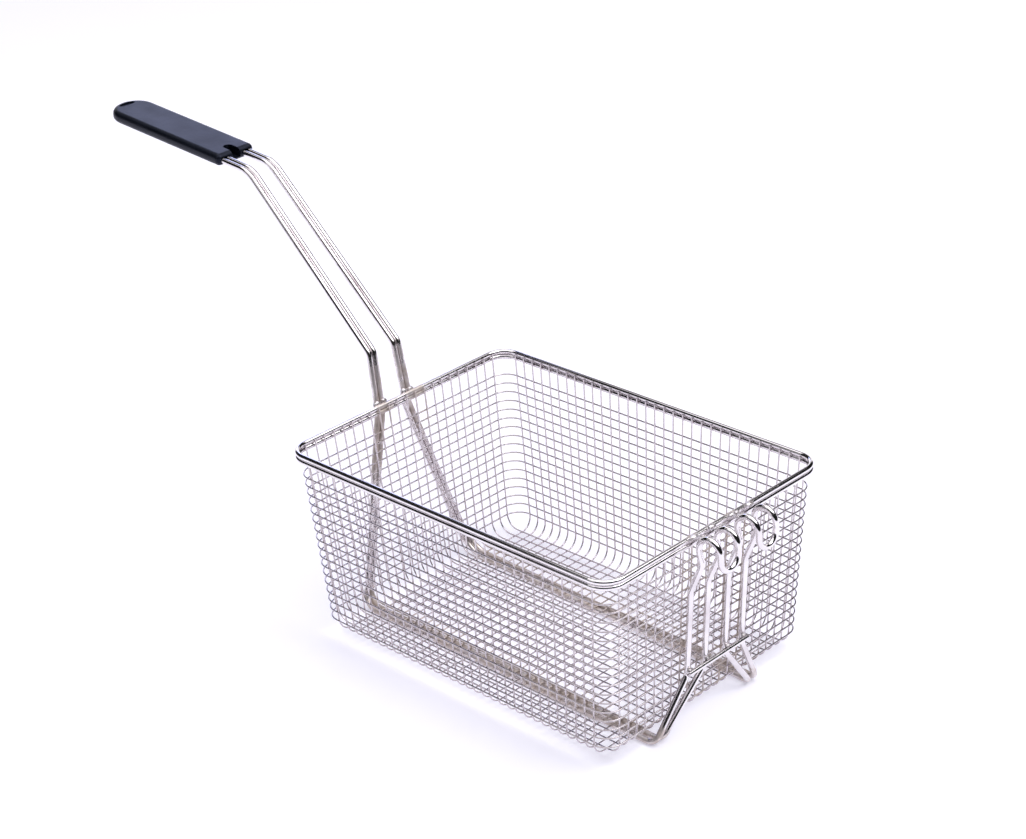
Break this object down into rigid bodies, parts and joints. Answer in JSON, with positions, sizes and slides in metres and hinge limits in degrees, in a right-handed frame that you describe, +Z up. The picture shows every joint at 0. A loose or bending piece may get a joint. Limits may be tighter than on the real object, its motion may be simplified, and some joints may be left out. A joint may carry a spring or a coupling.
{
  "type": "deep fryer basket",
  "caption": "Rectangular wire mesh deep fryer basket with a double wire rim, front hanging hooks, doubled wire frame and a long raised handle with a black vinyl grip.",
  "frame": {"origin": "on the surface that the floor wires stand on, half way along the whole length from grip to hook tips and half way across", "axes": "+X from the grip towards the hanging hooks, +Y across the basket, +Z up"},
  "size_m": [0.5739, 0.2008, 0.2894],
  "materials": {
    "mesh_wire": "bright nickel plate",
    "plated_wire": "bright nickel plate",
    "black_vinyl": "smooth satin vinyl"
  },
  "bodies": {
    "root": {"wire_mesh_basket": "mesh_wire", "upper_rim_rod": "plated_wire", "lower_rim_rod": "plated_wire", "left_frame_wire": "plated_wire", "right_frame_wire": "plated_wire", "front_crossbar": "plated_wire", "handle_grip": "black_vinyl"}
  },
  "joints": []
}
